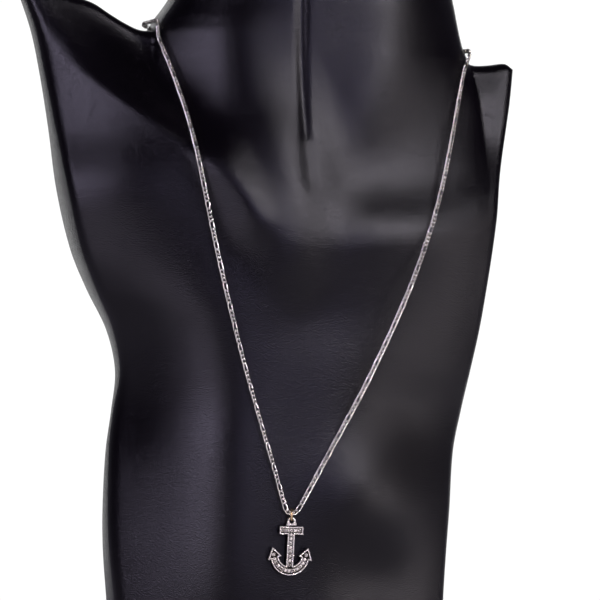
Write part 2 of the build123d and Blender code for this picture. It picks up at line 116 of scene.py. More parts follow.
# columns: height above the notch, across
neck_left_side = [
    (-0.80, -0.520),
    (-0.25, -0.486),
    (0.00, -0.461),
    (0.05, -0.444),
    (0.10, -0.428),
    (0.14, -0.411),
    (0.23, -0.378),
    (0.41, -0.332),
    (0.61, -0.299),
    (1.00, -0.278),
]
neck_right_side = [
    (-0.80, 0.900),
    (-0.25, 0.862),
    (0.00, 0.827),
    (0.06, 0.810),
    (0.13, 0.798),
    (0.23, 0.785),
    (0.30, 0.777),
    (0.36, 0.769),
    (0.59, 0.752),
    (1.00, 0.744),
]
# columns: across, height, and the height over which the surface falls back above the line
collarbone_line = [
    (-1.039, 0.930, 0.12),
    (-0.786, 0.868, 0.12),
    (-0.630, 0.828, 0.12),
    (-0.477, 0.788, 0.13),
    (-0.327, 0.744, 0.20),
    (-0.214, 0.704, 0.34),
    (-0.116, 0.664, 0.46),
    (0.009, 0.630, 0.52),
    (0.155, 0.626, 0.42),
    (0.260, 0.622, 0.30),
    (0.367, 0.622, 0.24),
    (0.605, 0.616, 0.24),
    (0.775, 0.622, 0.24),
    (1.004, 0.700, 0.16),
]
# columns: name, rise, width, path
relief_strokes = [
    ("left neck muscle", 0.35, 1.20, [(-0.352, 1.138), (-0.250, 0.940), (-0.110, 0.820)]),
    ("throat column", 0.75, 1.15, [(-0.060, 0.810), (0.015, 0.700), (-0.010, 0.570)]),
    ("throat groove", -0.17, 0.17, [(0.087, 1.138), (0.081, 0.894), (0.085, 0.780)]),
    ("foot of the groove", -0.11, 0.26, [(0.084, 0.785), (0.096, 0.710)]),
    ("right neck muscle", 0.48, 1.25, [(0.500, 1.000), (0.446, 0.894), (0.352, 0.808), (0.300, 0.765)]),
    ("left collarbone", 0.72, 0.72, [(-0.300, 0.775), (-0.215, 0.722), (-0.160, 0.680), (-0.130, 0.640)]),
    ("right collarbone", 0.42, 0.95,
     [(0.258, 0.656), (0.367, 0.658), (0.605, 0.654), (0.775, 0.660), (0.883, 0.690)]),
    ("hollow of the breastbone", -0.28, 1.30, [(0.110, 0.560), (0.190, 0.500)]),
    ("left chest ridge", 0.75, 1.60, [(-0.330, 0.565), (-0.270, 0.479), (-0.250, 0.100)]),
    ("right chest", 1.15, 1.70, [(0.185, 0.275), (0.500, 0.262)]),
    ("hollow under the right chest", -0.80, 1.60, [(0.400, 0.150)]),
    ("dip above the right chest", -0.32, 1.28, [(0.525, 0.400)]),
    ("left shoulder", 0.25, 1.40, [(-0.638, 0.720)]),
    ("right shoulder", 0.38, 0.85, [(0.910, 0.837)]),
    ("left flank", -0.64, 0.96, [(-0.633, 0.522), (-0.608, 0.335)]),
]


def curve(rows, column):
    """One column of a table as a smooth function of its first."""
    at = np.array([row[0] for row in rows])
    values = np.array([row[column] for row in rows])
    low = np.maximum(np.arange(len(at)) - 1, 0)
    high = np.minimum(np.arange(len(at)) + 1, len(at) - 1)
    slopes = (values[high] - values[low]) / (at[high] - at[low])

    def read(x):
        x = np.clip(x, at[0], at[-1])
        k = np.clip(np.searchsorted(at, x) - 1, 0, len(at) - 2)
        span = at[k + 1] - at[k]
        t = (x - at[k]) / span
        return (
            values[k] * (2 * t**3 - 3 * t**2 + 1)
            + values[k + 1] * (3 * t**2 - 2 * t**3)
            + slopes[k] * span * (t**3 - 2 * t**2 + t)
            + slopes[k + 1] * span * (t**3 - t**2)
        )

    return read


outline_left = curve(body_outline, 1)
outline_right = curve(body_outline, 2)
outline_wall = curve(body_outline, 3)
shoulder_left = curve(left_shoulder_line, 1)
shoulder_right = curve(right_shoulder_line, 1)
side_left = curve(neck_left_side, 1)
side_right = curve(neck_right_side, 1)
collar_height = curve(collarbone_line, 1)
collar_width = curve(collarbone_line, 2)
notch_left = (left_shoulder_line[-1][0] * shoulder_half_width, left_shoulder_line[-1][1] * shoulder_height)
notch_right = (right_shoulder_line[0][0] * shoulder_half_width, right_shoulder_line[0][1] * shoulder_height)


def mix(start, end, share):
    """Part of the way from one value to another."""
    return start + (end - start) * share


def body_sides(z):
    """Left and right side of the chest at a height."""
    rise = z / shoulder_height
    return outline_left(rise) * shoulder_half_width, outline_right(rise) * shoulder_half_width


def neck_sides(z):
    """Left and right side of the neck at a height."""
    left = side_left((z - notch_left[1]) / (neck_top_height - notch_left[1]))
    right = side_right((z - notch_right[1]) / (neck_top_height - notch_right[1]))
    return left * shoulder_half_width, right * shoulder_half_width


def top_line(x):
    """Height of the shoulders, and of a straight line under the neck between its two notches."""
    across = x / shoulder_half_width
    share = (x - notch_left[0]) / (notch_right[0] - notch_left[0])
    line = mix(notch_left[1], notch_right[1], share)
    line = np.where(x < notch_left[0], shoulder_left(across) * shoulder_height, line)
    return np.where(x > notch_right[0], shoulder_right(across) * shoulder_height, line)


def relief(x, z):
    """Muscles, bones and hollows: soft strokes along paths, and round mounds at single points."""
    total = np.zeros_like(x)
    for _, rise, width, path in relief_strokes:
        reach = width * relief_width
        places = [(across * shoulder_half_width, height * shoulder_height) for across, height in path]
        if len(places) == 1:
            [(x0, z0)] = places
            total += rise * relief_height * np.exp(-((x - x0) ** 2 + (z - z0) ** 2) / reach**2)
        for (x0, z0), (x1, z1) in zip(places, places[1:]):
            length = math.hypot(x1 - x0, z1 - z0)
            along = ((x - x0) * (x1 - x0) + (z - z0) * (z1 - z0)) / length
            aside = ((x - x0) * (z1 - z0) - (z - z0) * (x1 - x0)) / length
            ends = np.tanh(stroke_end * along / reach) - np.tanh(stroke_end * (along - length) / reach)
            total += rise * relief_height * ends / 2 * np.exp(-((aside / reach) ** 2))
    return total


def smooth_max(a, b):
    """The larger of two depths, with a rounded join where they are nearly the same."""
    near = np.maximum(1 - np.abs(a - b) / neck_blend, 0)
    return np.maximum(a, b) + neck_blend * near**2 / 4


def collar_fall(x, z, chest):
    """Depth of the front: the chest up to the collarbones, then back to the ridge of the shoulders."""
    across = x / shoulder_half_width
    above = z / shoulder_height - collar_height(across)
    share = np.clip(above / collar_width(across), 0, 1)
    ridge = shoulder_ridge_front + shoulder_slope * (top_line(x) - z)
    return mix(chest, np.minimum(ridge, chest), share**fall_power * (1 + fall_power * (1 - share)))


def back_fall(x, z, back):
    """Depth of the back, which comes forward to the ridge of the shoulders."""
    below = (top_line(x) - z) / back_drop
    share = np.where(below > 0, 1 - (1 - np.clip(below, 0, 1)) ** 2, 2 * below)
    return mix(shoulder_ridge_back, back, share)


def neck_round(x, z, side, middle):
    """Depth of one face of the neck, from its sides to its middle."""
    left, right = neck_sides(z)
    across = np.abs(2 * x - left - right) / (right - left)
    inside = side + (middle - side) * np.sqrt(1 - np.clip(across, 0, 1) ** neck_roundness)
    return np.where(across >= 1, side - (across - 1) * (right - left) / 2, inside)


def edge_drop(x, z):
    """Depth lost to the rounded edge along the sides and the shoulders."""
    left, right = body_sides(z)
    near = np.minimum(x - left, right - x)
    shoulder = (x < notch_left[0]) | (x > notch_right[0])
    near = np.where(shoulder, np.minimum(near, top_line(x) - z), near)
    near = np.clip(near, 0, edge_radius)
    drop = edge_radius - np.sqrt(edge_radius**2 - (edge_radius - near) ** 2)
    return np.where(z < top_line(x) + 0.001, drop, 0)


def front_depth(x, z):
    left, right = body_sides(z)
    wall = outline_wall(z / shoulder_height) * chest_depth
    across = np.clip(np.abs(2 * x - left - right) / (right - left), 0, 1)
    chest = wall + (chest_depth - wall) * (1 - across**chest_roundness)
    torso = collar_fall(x, z, chest)
    below = np.maximum(collar_height(x / shoulder_half_width) * shoulder_height - z, 0)
    neck = neck_round(x, z, neck_side_depth, throat_depth) - neck_dive * below**2 / (below + neck_dive_start)
    return smooth_max(torso, neck) + relief(x, z) - edge_drop(x, z)


def rear_depth(x, z):
    left, right = body_sides(z)
    across = np.clip(np.abs(2 * x - left - right) / (right - left), 0, 1)
    torso = back_fall(x, z, back_depth * (1 - across**back_roundness))
    return smooth_max(torso, neck_round(x, z, 0.0, nape_depth)) - edge_drop(x, z)


def eased(count):
    """Shares from 0 to 1 that crowd a little towards both ends."""
    even = np.arange(count + 1) / count
    return mix(even, (1 - np.cos(np.pi * even)) / 2, 0.4)


def crowded(stops, counts):
    """Even shares from each stop to the next, with a count of points for each stretch."""
    stretches = [np.linspace(*ends) for ends in zip(stops, stops[1:], counts)]
    return np.concatenate([stretch[:-1] for stretch in stretches] + [[stops[-1]]])


# The columns crowd at the throat groove, and the rows just under the ridge of the shoulders.
left_shoulder_columns = 36
right_shoulder_columns = 20
neck_stops = (0, 0.36, 0.50, 1)
neck_counts = (40, 56, 50)
body_stops = (0, 0.97, 1)
body_counts = (170, 20)
neck_rows = 37

left_tip = float(body_sides(shoulder_height)[0])
corner_height = right_shoulder_line[-1][1] * shoulder_height
right_corner = float(body_sides(corner_height)[1])
left_columns = mix(left_tip, notch_left[0], eased(left_shoulder_columns))
neck_columns = mix(notch_left[0], notch_right[0], crowded(neck_stops, neck_counts))
right_columns = mix(notch_right[0], right_corner, eased(right_shoulder_columns))
column_tops = np.concatenate([left_columns[:-1], neck_columns, right_columns[1:]])
column_heights = top_line(column_tops)
column_heights[-1] = corner_height
low, high = body_sides(column_heights)
column_shares = (column_tops - low) / (high - low)
body_z = crowded(body_stops, body_counts)[:, None] * column_heights[None, :]
low, high = body_sides(body_z)
body_x = mix(low, high, column_shares[None, :])
body_x[-1] = column_tops

first = len(left_columns) - 1
last = first + len(neck_columns) - 1
root_shares = (neck_columns - notch_left[0]) / (notch_right[0] - notch_left[0])
neck_rises = np.linspace(0, 1, neck_rows)[:, None]
neck_z = mix(column_heights[None, first : last + 1], neck_top_height, neck_rises)
low = neck_sides(mix(notch_left[1], neck_top_height, neck_rises))[0]
high = neck_sides(mix(notch_right[1], neck_top_height, neck_rises))[1]
neck_x = mix(low, high, root_shares[None, :])

bust_points = []
bust_faces = []


def lay_rows(x, y, z):
    """Adds a grid of points and returns their numbers."""
    start = len(bust_points)
    bust_points.extend(zip(x.ravel() * mm, y.ravel() * mm, z.ravel() * mm))
    return np.arange(start, start + x.size).reshape(x.shape)


def join_rows(grid):
    """Adds a face between every four neighbours of a grid."""
    quads = np.stack([grid[:-1, :-1], grid[:-1, 1:], grid[1:, 1:], grid[1:, :-1]], axis=-1)
    bust_faces.extend(quads.reshape(-1, 4).tolist())


body_front = lay_rows(body_x, seam_y - front_depth(body_x, body_z), body_z)
body_rear = lay_rows(body_x, seam_y + rear_depth(body_x, body_z), body_z)
throat = lay_rows(neck_x, seam_y - front_depth(neck_x, neck_z), neck_z)
nape = lay_rows(neck_x, seam_y + rear_depth(neck_x, neck_z), neck_z)
for grid in (body_front, body_rear[:, ::-1], throat, nape[:, ::-1]):
    join_rows(grid)
seams = [
    (body_front[:, 0], body_rear[:, 0]),
    (body_front[:, -1], body_rear[:, -1]),
    (body_front[-1, : first + 1], body_rear[-1, : first + 1]),
    (body_front[-1, last:], body_rear[-1, last:]),
    (throat[:, 0], nape[:, 0]),
    (throat[:, -1], nape[:, -1]),
]
for near, far in seams:
    join_rows(np.stack([near, far]))
bust_faces.append(body_front[0].tolist() + body_rear[0, ::-1].tolist())
bust_faces.append(throat[-1].tolist() + nape[-1, ::-1].tolist())


def closed_mesh(name, points, faces, crease):
    """A mesh with its double points joined, faces outwards and edges sharper than crease kept."""
    mesh = bpy.data.meshes.new(name)
    mesh.from_pydata(points, [], faces)
    work = bmesh.new()
    work.from_mesh(mesh)
    bmesh.ops.remove_doubles(work, verts=work.verts, dist=0.01 * mm)
    bmesh.ops.dissolve_degenerate(work, edges=work.edges, dist=0.001 * mm)
    bmesh.ops.recalc_face_normals(work, faces=work.faces)
    work.to_mesh(mesh)
    work.free()
    mesh.shade_smooth()
    mesh.set_sharp_from_angle(angle=crease)
    made = bpy.data.objects.new(name, mesh)
    bpy.context.scene.collection.objects.link(made)
    return made


class Wire:
    """One output of a node, in a shader or geometry tree. Arithmetic on it adds Math nodes."""

    def __init__(self, tree, output):
        self.tree = tree
        self.output = output

    def node(self, kind, settings=(), inputs=(), out=0):
        return add_node(self.tree, kind, settings, inputs, out)

    def other(self, out):
        return Wire(self.tree, self.output.node.outputs[out])

    def maths(self, operation, *values):
        return self.node("ShaderNodeMath", {"operation": operation}, dict(enumerate(values)))

    def __add__(self, other):
        return self.maths("ADD", self, other)

    def __sub__(self, other):
        return self.maths("SUBTRACT", self, other)

    def __mul__(self, other):
        return self.maths("MULTIPLY", self, other)

    def __truediv__(self, other):
        return self.maths("DIVIDE", self, other)

    def __pow__(self, other):
        return self.maths("POWER", self, other)

    def __radd__(self, other):
        return self.maths("ADD", other, self)

    def __rsub__(self, other):
        return self.maths("SUBTRACT", other, self)

    def __rmul__(self, other):
        return self.maths("MULTIPLY", other, self)


def add_node(tree, kind, settings=(), inputs=(), out=0):
    """A node of any kind: its settings first, then the values or links of its sockets."""
    made = tree.nodes.new(kind)
    for name, value in dict(settings).items():
        if name == "stops":
            ramp = made.color_ramp
            while len(ramp.elements) < len(value):
                ramp.elements.new(1.0)
            for element, (place, colour) in zip(ramp.elements, value):
                element.position = place
                element.color = colour
        else:
            setattr(made, name, value)
    for name, value in dict(inputs).items():
        named = [s for s in made.inputs if s.identifier == name]
        socket = named[0] if named else made.inputs[name]
        if isinstance(value, list):
            for wire in value:
                tree.links.new(wire.output, socket)
        elif isinstance(value, Wire):
            tree.links.new(value.output, socket)
        else:
            socket.default_value = value
    return Wire(tree, made.outputs[out])


def new_finish(name):
    """A material, its Principled shader and its Object coordinates."""
    material = bpy.data.materials.new(name)
    material.use_nodes = True
    tree = material.node_tree
    shader = tree.nodes["Principled BSDF"]
    place = add_node(tree, "ShaderNodeTexCoord", out="Object")
    return material, shader, place


def feed(shader, **values):
    """Puts values or wires on a shader's sockets; an underscore stands for a space."""
    for name, value in values.items():
        socket = shader.inputs[name.replace("_", " ")]
        if isinstance(value, Wire):
            value.tree.links.new(value.output, socket)
        else:
            socket.default_value = value


def tinted(factor, first, second):
    """A colour between two others."""
    inputs = {"Factor_Float": factor, "A_Color": first, "B_Color": second}
    return factor.node("ShaderNodeMix", {"data_type": "RGBA"}, inputs, out=2)


bust_skin, shader, place = new_finish("black satin moulding")
cloud = place.node("ShaderNodeTexNoise", inputs={"Vector": place, "Scale": 22.0, "Detail": 2.0})
grain = place.node("ShaderNodeTexNoise", inputs={"Vector": place, "Scale": 3000.0, "Detail": 2.0})
bump = place.node("ShaderNodeBump", inputs={"Height": grain, "Strength": 1.0, "Distance": 0.12 * mm})
feed(
    shader,
    Base_Color=tinted(cloud, (0.0009, 0.0005, 0.0012, 1), (0.0013, 0.0007, 0.0018, 1)),
    Roughness=0.21 + 0.05 * cloud,
    Specular_IOR_Level=0.27,
    Normal=bump,
)

sharp_edge = math.radians(50)
neck_bust = closed_mesh("bust_moulding", bust_points, bust_faces, sharp_edge)
neck_bust.data.materials.append(bust_skin)
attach(neck_bust, "root")
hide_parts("neck_bust")


# The chain
# A figaro chain, three short links and a long one in turn, each an oval of silver wire twisted so
# that all lie flat. It runs from one end of the clasp down over both shoulders and through the ring.

chain_diameter = 1.5
chain_clearance = 0.35
nape_turns = 10
nape_allowance = 0.7
ridge_allowance = 1.9
joint_clearance = 0.2
ring_wire = 0.6
link_wire = 0.36
link_play = 0.08
link_twist = math.radians(60)
link_sway = 0.06
short_link_length = 2.03
long_link_length = 3.30
corner_share = 0.45
corner_steps = 6
# columns: across, height, how far the chain stands off the bust, and the way the flat side of its
# links faces, in degrees to the right of straight ahead
chain_left_path = [
    (-0.470, 0.925, 0.111, -60),
    (-0.430, 0.880, 0.064, -45),
    (-0.385, 0.813, 0.038, -36),
    (-0.365, 0.761, 0.022, -33),
    (-0.340, 0.715, 0.017, -30),
    (-0.293, 0.631, 0.039, -20),
    (-0.240, 0.547, 0.026, 8),
    (-0.181, 0.463, 0.038, 28),
    (-0.116, 0.381, 0.029, 36),
    (-0.057, 0.311, 0.027, 24),
]
chain_right_path = [
    (0.118, 0.305, 0.024, -2),
    (0.208, 0.359, 0.010, -2),
    (0.320, 0.430, 0.063, -2),
    (0.421, 0.504, 0.098, -2),
    (0.515, 0.578, 0.099, -2),
    (0.607, 0.660, 0.018, -2),
    (0.662, 0.716, 0.067, 0),
    (0.708, 0.772, 0.058, 10),
    (0.752, 0.828, 0.018, 20),
    (0.790, 0.877, 0.010, 45),
]
facing_rise = 0.14
ridge_facing_ahead = -0.6
ridge_facing_up = 0.4
lowest_facing = 0.2

chain_stand = chain_diameter / 2 + chain_clearance
nape_stand = chain_stand + nape_allowance


def box_mm(node):
    """Middle and size of a CAD node, in millimetres."""
    low, high = (np.array(corner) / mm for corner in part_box(node))
    return (low + high) / 2, high - low


clasp_middle, clasp_size = box_mm("clasp")
ring_middle, ring_size = box_mm("jump_ring")


def front_route(path):
    """Points of a path over the front of the bust, each with the way its links face."""
    rows = []
    for across, height, stand_off, facing in path:
        x = across * shoulder_half_width
        z = height * shoulder_height
        y = seam_y - float(front_depth(x, z)) - chain_stand - stand_off * chest_depth
        turn = math.radians(facing)
        rows.append((x, y, z, math.sin(turn), -math.cos(turn), facing_rise))
    return rows


def nape_route(notch, side):
    """Over the ridge of the shoulder at a notch and round the side of the neck to the clasp."""
    over_ridge = notch[1] + chain_stand + ridge_allowance
    edge = float(neck_sides(over_ridge)[1 if side > 0 else 0])
    ridge_y = seam_y - float(front_depth(edge, over_ridge)) - chain_stand - ridge_allowance
    rows = [
        (edge + side * nape_stand, ridge_y, over_ridge, side, ridge_facing_ahead, ridge_facing_up),
        (edge + side * nape_stand, seam_y - neck_side_depth, over_ridge, side, 0.0, ridge_facing_up),
    ]
    for k in range(1, nape_turns + 1):
        share = k / nape_turns
        z = mix(over_ridge, clasp_middle[2], share)
        left, right = (float(edge) for edge in neck_sides(z))
        half = (right - left) / 2
        angle = share * (math.pi / 2 - math.asin(clasp_size[0] / 2 / half))
        stand = nape_stand + ridge_allowance * (1 - share) ** 2
        reach = (half + stand) * math.cos(angle) ** (2 / neck_roundness)
        depth = (nape_depth + stand) * math.sin(angle)
        facing = (side * math.cos(angle), math.sin(angle), 0.0)
        rows.append(((left + right) / 2 + side * reach, seam_y + depth, z, *facing))
    return rows


def rounded(rows):
    """A path with its corners rounded over a share of the shorter run beside each."""
    rows = np.array(rows, float)
    made = [rows[0]]
    for before, here, after in zip(rows, rows[1:], rows[2:]):
        runs = [np.linalg.norm((end - here)[:3]) for end in (before, after)]
        start, end = (
            mix(here, far, corner_share * min(runs) / run) for far, run in zip((before, after), runs)
        )
        for t in np.linspace(0, 1, corner_steps):
            made.append((1 - t) ** 2 * start + 2 * t * (1 - t) * here + t**2 * end)
    made.append(rows[-1])
    return np.array(made)


ring_top = ring_middle[2] + ring_size[2] / 2 - ring_wire
chain_low = ring_top - joint_clearance - chain_diameter / 2
lowest = [
    (ring_middle[0] + side * chain_diameter, ring_middle[1], chain_low, side * lowest_facing, -1.0, 0.0)
    for side in (-1, 1)
]
left_half = nape_route(notch_left, -1)[::-1] + front_route(chain_left_path) + lowest[:1]
right_half = lowest[1:] + front_route(chain_right_path) + nape_route(notch_right, 1)
chain_path = rounded(left_half + right_half)
path_steps = np.linalg.norm(np.diff(chain_path[:, :3], axis=0), axis=1)
middle_row = int(np.argmin(np.hypot(chain_path[:, 0] - ring_middle[0], chain_path[:, 2] - chain_low)))
left_length = path_steps[:middle_row].sum() + ring_middle[0] - chain_path[middle_row, 0]
right_length = path_steps.sum() - left_length

# From joint to joint a link spans its length less its own wire and its neighbours'.
short_pitch = short_link_length - 2 * link_wire - link_play
long_pitch = long_link_length - 2 * link_wire - link_play
repeat_pitch = 3 * short_pitch + long_pitch


def link_start(number):
    """Distance from the lowest point to where a link starts. Number 0 is the short link in the ring."""
    repeat, step = divmod(number + 1, 4)
    return repeat * repeat_pitch + (step - 1.5) * short_pitch


links_left = 0
while -link_start(-links_left) < left_length:
    links_left += 1
links_left -= 1
links_right = 0
while link_start(links_right + 1) < right_length:
    links_right += 1
left_stretch = left_length / -link_start(-links_left)
right_stretch = right_length / link_start(links_right)


def new_tree(name, inputs):
    """A geometry tree with named inputs, and a wire from each of them."""
    tree = bpy.data.node_groups.new(name, "GeometryNodeTree")
    for way in ("INPUT", "OUTPUT"):
        tree.interface.new_socket("Geometry", in_out=way, socket_type="NodeSocketGeometry")
    for label, kind in inputs.items():
        tree.interface.new_socket(label, in_out="INPUT", socket_type=kind)
    start = tree.nodes.new("NodeGroupInput")
    return tree, {socket.name: Wire(tree, socket) for socket in start.outputs if socket.name}


def plain_mesh(tree, result, holder, values):
    """Ends a geometry tree, runs it on an object with the values given and keeps the mesh alone."""
    end = tree.nodes.new("NodeGroupOutput")
    tree.links.new(result.output, end.inputs[0])
    modifier = holder.modifiers.new(tree.name, "NODES")
    modifier.node_group = tree
    for item in tree.interface.items_tree:
        if item.in_out == "INPUT" and item.name in values:
            modifier[item.identifier] = values[item.name]
    bpy.context.view_layer.update()
    seen = holder.evaluated_get(bpy.context.evaluated_depsgraph_get())
    made = bpy.data.meshes.new_from_object(seen)
    holder.modifiers.clear()
    holder.data = made


silver, shader, place = new_finish("bright silver")
wear = place.node("ShaderNodeTexNoise", inputs={"Vector": place, "Scale": 900.0, "Detail": 2.0})
feed(
    shader,
    Base_Color=tinted(wear, (0.80, 0.77, 0.66, 1), (1.0, 0.97, 0.86, 1)),
    Metallic=1.0,
    Roughness=0.12 + 0.10 * wear,
)

chain_values = {
    "links left": links_left,
    "links in all": links_left + links_right,
    "left length": left_length * mm,
    "left stretch": left_stretch,
    "right stretch": right_stretch,
    "short pitch": short_pitch * mm,
    "long pitch": long_pitch * mm,
}
whole = ("links left", "links in all")
kinds = {label: "NodeSocketInt" if label in whole else "NodeSocketFloat" for label in chain_values}
tree, given = new_tree("figaro chain", kinds)
curve_line = add_node(tree, "GeometryNodeMeshToCurve", inputs={"Mesh": given["Geometry"]})
facing = add_node(tree, "GeometryNodeInputNamedAttribute", {"data_type": "FLOAT_VECTOR"}, {"Name": "facing"})
place_in_row = add_node(tree, "GeometryNodeInputIndex") - given["links left"] + 1
repeat = (place_in_row / 4).maths("FLOOR", place_in_row / 4)
step = place_in_row - 4 * repeat
# Steps 0, 1 and 2 are short links and step 3 is a long one.
is_long = step.maths("GREATER_THAN", step, 2.5)
repeat_length = 3 * given["short pitch"] + given["long pitch"]
link_begin = repeat * repeat_length + (step - 1.5) * given["short pitch"]
link_end = link_begin + given["short pitch"] + is_long * (given["long pitch"] - given["short pitch"])


def joint(distance):
    """Place of a joint and the chain's facing there, from its distance to the lowest point."""
    on_left = distance.maths("LESS_THAN", distance, 0.0)
    stretch = given["right stretch"] + on_left * (given["left stretch"] - given["right stretch"])
    inputs = {"Curves": curve_line, "Value": facing, "Length": given["left length"] + distance * stretch}
    settings = {"data_type": "FLOAT_VECTOR", "mode": "LENGTH"}
    sample = distance.node("GeometryNodeSampleCurve", settings, inputs)
    return sample.other("Position"), sample


def vector(operation, first, second):
    """A sum, difference or product of two vectors."""
    return first.node("ShaderNodeVectorMath", {"operation": operation}, {0: first, 1: second})


def link_oval(length, segments, squareness):
    """An oval of wire along X, its two ends twisted a quarter turn apart in all about X."""
    ring = add_node(tree, "GeometryNodeCurvePrimitiveCircle", inputs={"Resolution": segments, "Radius": 1.0})
    at = add_node(tree, "GeometryNodeInputPosition")
    along = at.node("ShaderNodeSeparateXYZ", inputs={"Vector": at})
    half_length = (length - link_wire) / 2 * mm
    half_width = (chain_diameter - link_wire) / 2 * mm
    aside = along.other("Y") * half_width * (1 + squareness * along * along) ** 0.5
    twist = along * along.maths("ABSOLUTE", along) * link_twist
    bent = at.node(
        "ShaderNodeCombineXYZ",
        inputs={
            "X": along * half_length,
            "Y": aside * twist.maths("COSINE", twist),
            "Z": aside * twist.maths("SINE", twist),
        },
    )
    oval = ring.node("GeometryNodeSetPosition", inputs={"Geometry": ring, "Position": bent})
    wire = {"Resolution": 6, "Radius": link_wire / 2 * mm}
    section = add_node(tree, "GeometryNodeCurvePrimitiveCircle", inputs=wire)
    oval = oval.node("GeometryNodeSetCurveNormal", {"mode": "Z_UP"}, {"Curve": oval})
    tube = oval.node("GeometryNodeCurveToMesh", inputs={"Curve": oval, "Profile Curve": section})
    return tube.node("GeometryNodeGeometryToInstance", inputs={"Geometry": tube})


begin_at, begin_facing = joint(link_begin)
end_at, end_facing = joint(link_end)
link_middle = vector("MULTIPLY", vector("ADD", begin_at, end_at), (0.5, 0.5, 0.5))
link_run = vector("SUBTRACT", end_at, begin_at)
sway = add_node(
    tree,
    "FunctionNodeRandomValue",
    {"data_type": "FLOAT_VECTOR"},
    {"Min": (-link_sway, -link_sway, -link_sway), "Max": (link_sway, link_sway, link_sway), "Seed": 7},
)
link_face = vector("ADD", vector("ADD", begin_facing, end_facing), sway)
link_turn = link_run.node(
    "FunctionNodeAxesToRotation",
    {"primary_axis": "X", "secondary_axis": "Z"},
    {"Primary Axis": link_run, "Secondary Axis": link_face},
)
spots = add_node(
    tree, "GeometryNodePoints", inputs={"Count": given["links in all"], "Position": link_middle}
)
ovals = [link_oval(long_link_length, 20, 1.0), link_oval(short_link_length, 16, 0.4)]
shapes = spots.node("GeometryNodeJoinGeometry", inputs={"Geometry": ovals})
links = spots.node(
    "GeometryNodeInstanceOnPoints",
    inputs={
        "Points": spots,
        "Instance": shapes,
        "Pick Instance": True,
        "Instance Index": is_long,
        "Rotation": link_turn,
    },
)
links = links.node("GeometryNodeRealizeInstances", inputs={"Geometry": links})
links = links.node("GeometryNodeSetMaterial", inputs={"Geometry": links, "Material": silver})

path_mesh = bpy.data.meshes.new("chain_path")
path_count = len(chain_path)
path_mesh.from_pydata((chain_path[:, :3] * mm).tolist(), [(k, k + 1) for k in range(path_count - 1)], [])
facings = path_mesh.attributes.new("facing", "FLOAT_VECTOR", "POINT")
facings.data.foreach_set("vector", chain_path[:, 3:].ravel())
chain = bpy.data.objects.new("figaro_chain", path_mesh)
bpy.context.scene.collection.objects.link(chain)
plain_mesh(tree, links, chain, chain_values)
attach(chain, "root")
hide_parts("chain")


# The clasp
# A plain closed oval of the chain's silver behind the neck. It is joined to both ends of the chain
# and is as bright as the links.


def put_on(material, node):
    """Gives a piece of the frame one material in place of its own."""
    node.data.materials.clear()
    node.data.materials.append(material)


put_on(silver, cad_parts["clasp"])


# The jump ring
# A ring of gold-tone wire, bent round and closed. It holds the lowest link of the chain and the eye
# of the anchor.

gold_tone, shader, place = new_finish("gold-tone wire")
wear = place.node("ShaderNodeTexNoise", inputs={"Vector": place, "Scale": 700.0, "Detail": 3.0})
feed(
    shader,
    Base_Color=tinted(wear, (0.62, 0.40, 0.17, 1), (1.0, 0.80, 0.46, 1)),
    Metallic=1.0,
    Roughness=0.16 + 0.14 * wear,
)
put_on(gold_tone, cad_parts["jump_ring"])


# The anchor
# A small casting in white metal: eye, stock, shank, arms and flukes, with a polished rim round
# sunken beds whose near-black colour is painted shade. Grains of the same metal are raised beside the
# stones.

setting_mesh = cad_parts["anchor_setting"].data
bed_depth = 0.5
eye_drop = 2.65
front_faces = [face for face in setting_mesh.polygons if face.normal.y < -0.8]
plate_front = sum((face.normal * face.area for face in front_faces), Vector()).normalized()
plate_level = max(vertex.co.dot(plate_front) for vertex in setting_mesh.vertices)
eye_level = max(vertex.co.z for vertex in setting_mesh.vertices) - eye_drop * mm


def reach_along(place, way):
    """How far a place lies in a direction."""
    return place.node("ShaderNodeVectorMath", {"operation": "DOT_PRODUCT"}, {0: place, 1: way}, out="Value")


def rising(wire, low, high):
    """0 up to one value, 1 from another, and a smooth rise between."""
    inputs = {"Value": wire, "From Min": low, "From Max": high}
    return wire.node("ShaderNodeMapRange", {"interpolation_type": "SMOOTHSTEP"}, inputs)


white_metal, shader, place = new_finish("white metal casting")
depth = reach_along(place, plate_front)
height = place.node("ShaderNodeSeparateXYZ", inputs={"Vector": place}, out="Z")
# Painted shade: the sunken beds are coloured near-black and the rim and the eye bright; the rim and the eye
# are also smoother.
raised = rising(depth, plate_level - 0.9 * bed_depth * mm, plate_level - 0.3 * bed_depth * mm)
polish_and_bed_shade = raised.maths("MAXIMUM", raised, rising(height, eye_level, eye_level + 0.2 * mm))
cast = place.node("ShaderNodeTexNoise", inputs={"Vector": place, "Scale": 1600.0, "Detail": 3.0})
bump = place.node("ShaderNodeBump", inputs={"Height": cast, "Strength": 1.0, "Distance": 0.40 * mm})
feed(
    shader,
    Base_Color=tinted(polish_and_bed_shade, (0.022, 0.018, 0.015, 1), (1.0, 0.95, 0.81, 1)),
    Metallic=1.0,
    Roughness=0.34 - 0.14 * polish_and_bed_shade + 0.12 * cast,
    Normal=bump,
)
put_on(white_metal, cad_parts["anchor_setting"])
